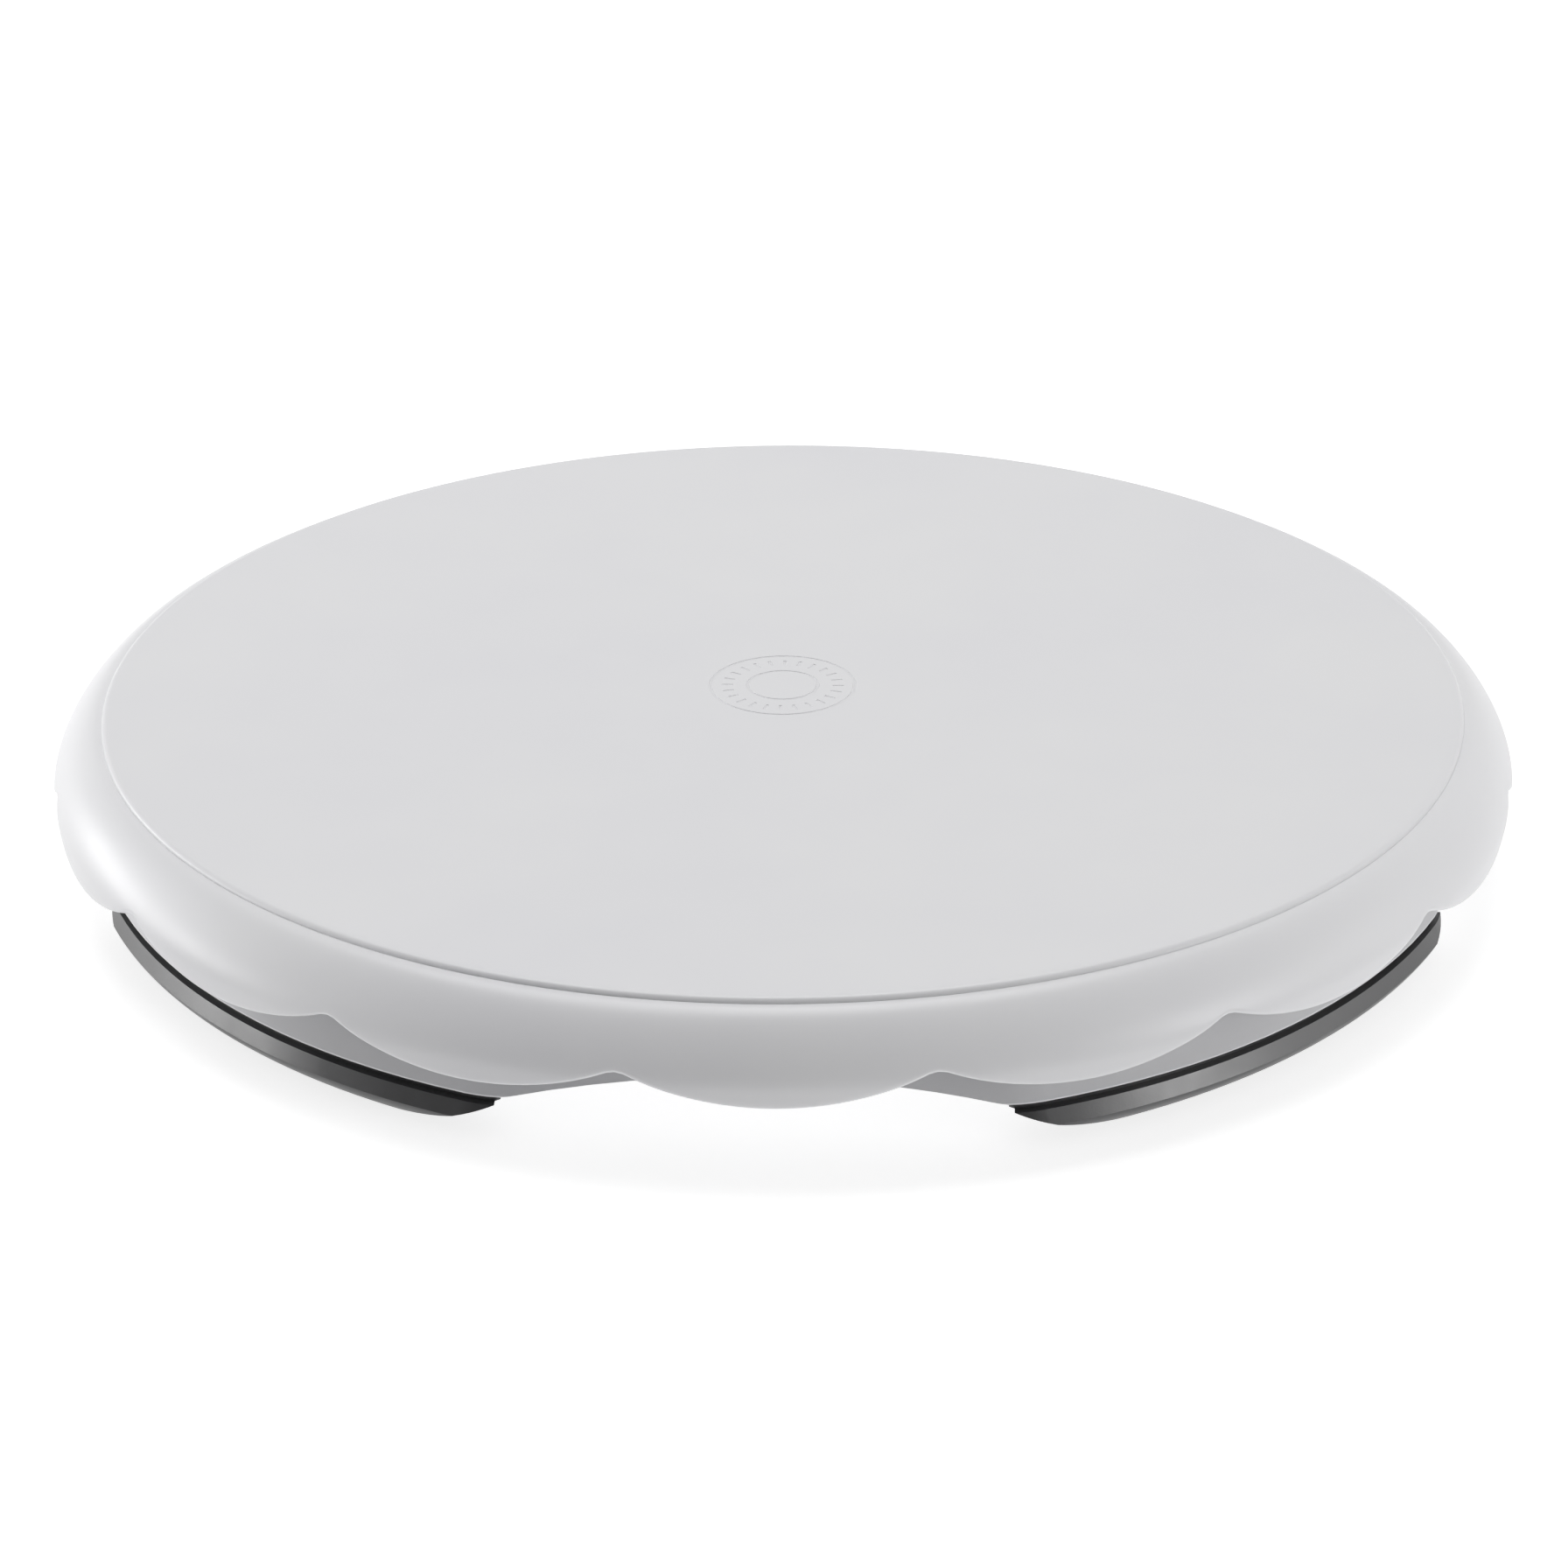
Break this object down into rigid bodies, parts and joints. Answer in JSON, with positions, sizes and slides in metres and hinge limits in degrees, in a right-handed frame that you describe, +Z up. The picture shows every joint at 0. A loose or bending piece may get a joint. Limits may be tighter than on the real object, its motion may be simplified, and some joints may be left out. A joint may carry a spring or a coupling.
{
  "type": "lazy susan turntable",
  "caption": "Low round cake turntable: flat disc with a scalloped skirt turning on a caged ball race over a footed base with rubber grips.",
  "frame": {"origin": "on the table under the turning axis", "axes": "+Z up along the turning axis, -Y towards the front arch, feet on the diagonals"},
  "size_m": [0.33, 0.33, 0.037],
  "materials": {
    "plate_white": "smooth satin moulding, soft sheen",
    "base_white": "smooth satin moulding",
    "grip_rubber": "matt grey thermoplastic rubber",
    "cage_plastic": "natural moulded plastic",
    "bush_plastic": "natural acetal",
    "ball_steel": "polished bearing steel",
    "fastener_steel": "zinc plated"
  },
  "bodies": {
    "base": {"base_body": "base_white", "grip_front_right": "grip_rubber", "grip_back_right": "grip_rubber", "grip_back_left": "grip_rubber", "grip_front_left": "grip_rubber", "pivot_bush": "bush_plastic", "pivot_cap": "base_white"},
    "plate": {"top_plate": "plate_white", "retaining_washer": "fastener_steel", "pivot_screw": "fastener_steel"},
    "cage": {"ball_cage": "cage_plastic"},
    "ball_01": {"ball_01": "ball_steel"},
    "ball_02": {"ball_02": "ball_steel"},
    "ball_03": {"ball_03": "ball_steel"},
    "ball_04": {"ball_04": "ball_steel"},
    "ball_05": {"ball_05": "ball_steel"},
    "ball_06": {"ball_06": "ball_steel"},
    "ball_07": {"ball_07": "ball_steel"},
    "ball_08": {"ball_08": "ball_steel"},
    "ball_09": {"ball_09": "ball_steel"},
    "ball_10": {"ball_10": "ball_steel"},
    "ball_11": {"ball_11": "ball_steel"},
    "ball_12": {"ball_12": "ball_steel"}
  },
  "joints": [
    {"name": "plate_turn", "type": "hinge", "parent": "base", "child": "plate", "pos_m": [0, 0, 0.0302], "axis": [0, 0, 1], "continuous": true},
    {"name": "cage_turn", "type": "hinge", "parent": "base", "child": "cage", "pos_m": [0, 0, 0.0302], "axis": [0, 0, 1], "continuous": true},
    {"name": "ball_01_roll", "type": "hinge", "parent": "cage", "child": "ball_01", "pos_m": [0.1016, 0, 0.0302], "axis": [1, 0, 0], "continuous": true},
    {"name": "ball_02_roll", "type": "hinge", "parent": "cage", "child": "ball_02", "pos_m": [0.08799, 0.0508, 0.0302], "axis": [0.866, 0.5, 0], "continuous": true},
    {"name": "ball_03_roll", "type": "hinge", "parent": "cage", "child": "ball_03", "pos_m": [0.0508, 0.08799, 0.0302], "axis": [0.5, 0.866, 0], "continuous": true},
    {"name": "ball_04_roll", "type": "hinge", "parent": "cage", "child": "ball_04", "pos_m": [0, 0.1016, 0.0302], "axis": [0, 1, 0], "continuous": true},
    {"name": "ball_05_roll", "type": "hinge", "parent": "cage", "child": "ball_05", "pos_m": [-0.0508, 0.08799, 0.0302], "axis": [-0.5, 0.866, 0], "continuous": true},
    {"name": "ball_06_roll", "type": "hinge", "parent": "cage", "child": "ball_06", "pos_m": [-0.08799, 0.0508, 0.0302], "axis": [-0.866, 0.5, 0], "continuous": true},
    {"name": "ball_07_roll", "type": "hinge", "parent": "cage", "child": "ball_07", "pos_m": [-0.1016, 0, 0.0302], "axis": [-1, 0, 0], "continuous": true},
    {"name": "ball_08_roll", "type": "hinge", "parent": "cage", "child": "ball_08", "pos_m": [-0.08799, -0.0508, 0.0302], "axis": [-0.866, -0.5, 0], "continuous": true},
    {"name": "ball_09_roll", "type": "hinge", "parent": "cage", "child": "ball_09", "pos_m": [-0.0508, -0.08799, 0.0302], "axis": [-0.5, -0.866, 0], "continuous": true},
    {"name": "ball_10_roll", "type": "hinge", "parent": "cage", "child": "ball_10", "pos_m": [0, -0.1016, 0.0302], "axis": [0, -1, 0], "continuous": true},
    {"name": "ball_11_roll", "type": "hinge", "parent": "cage", "child": "ball_11", "pos_m": [0.0508, -0.08799, 0.0302], "axis": [0.5, -0.866, 0], "continuous": true},
    {"name": "ball_12_roll", "type": "hinge", "parent": "cage", "child": "ball_12", "pos_m": [0.08799, -0.0508, 0.0302], "axis": [0.866, -0.5, 0], "continuous": true}
  ],
  "couplings": [
    {"joint": "cage_turn", "follows": "plate_turn", "ratio": 0.5},
    {"joint": "ball_01_roll", "follows": "plate_turn", "ratio": -16},
    {"joint": "ball_02_roll", "follows": "plate_turn", "ratio": -16},
    {"joint": "ball_03_roll", "follows": "plate_turn", "ratio": -16},
    {"joint": "ball_04_roll", "follows": "plate_turn", "ratio": -16},
    {"joint": "ball_05_roll", "follows": "plate_turn", "ratio": -16},
    {"joint": "ball_06_roll", "follows": "plate_turn", "ratio": -16},
    {"joint": "ball_07_roll", "follows": "plate_turn", "ratio": -16},
    {"joint": "ball_08_roll", "follows": "plate_turn", "ratio": -16},
    {"joint": "ball_09_roll", "follows": "plate_turn", "ratio": -16},
    {"joint": "ball_10_roll", "follows": "plate_turn", "ratio": -16},
    {"joint": "ball_11_roll", "follows": "plate_turn", "ratio": -16},
    {"joint": "ball_12_roll", "follows": "plate_turn", "ratio": -16}
  ]
}
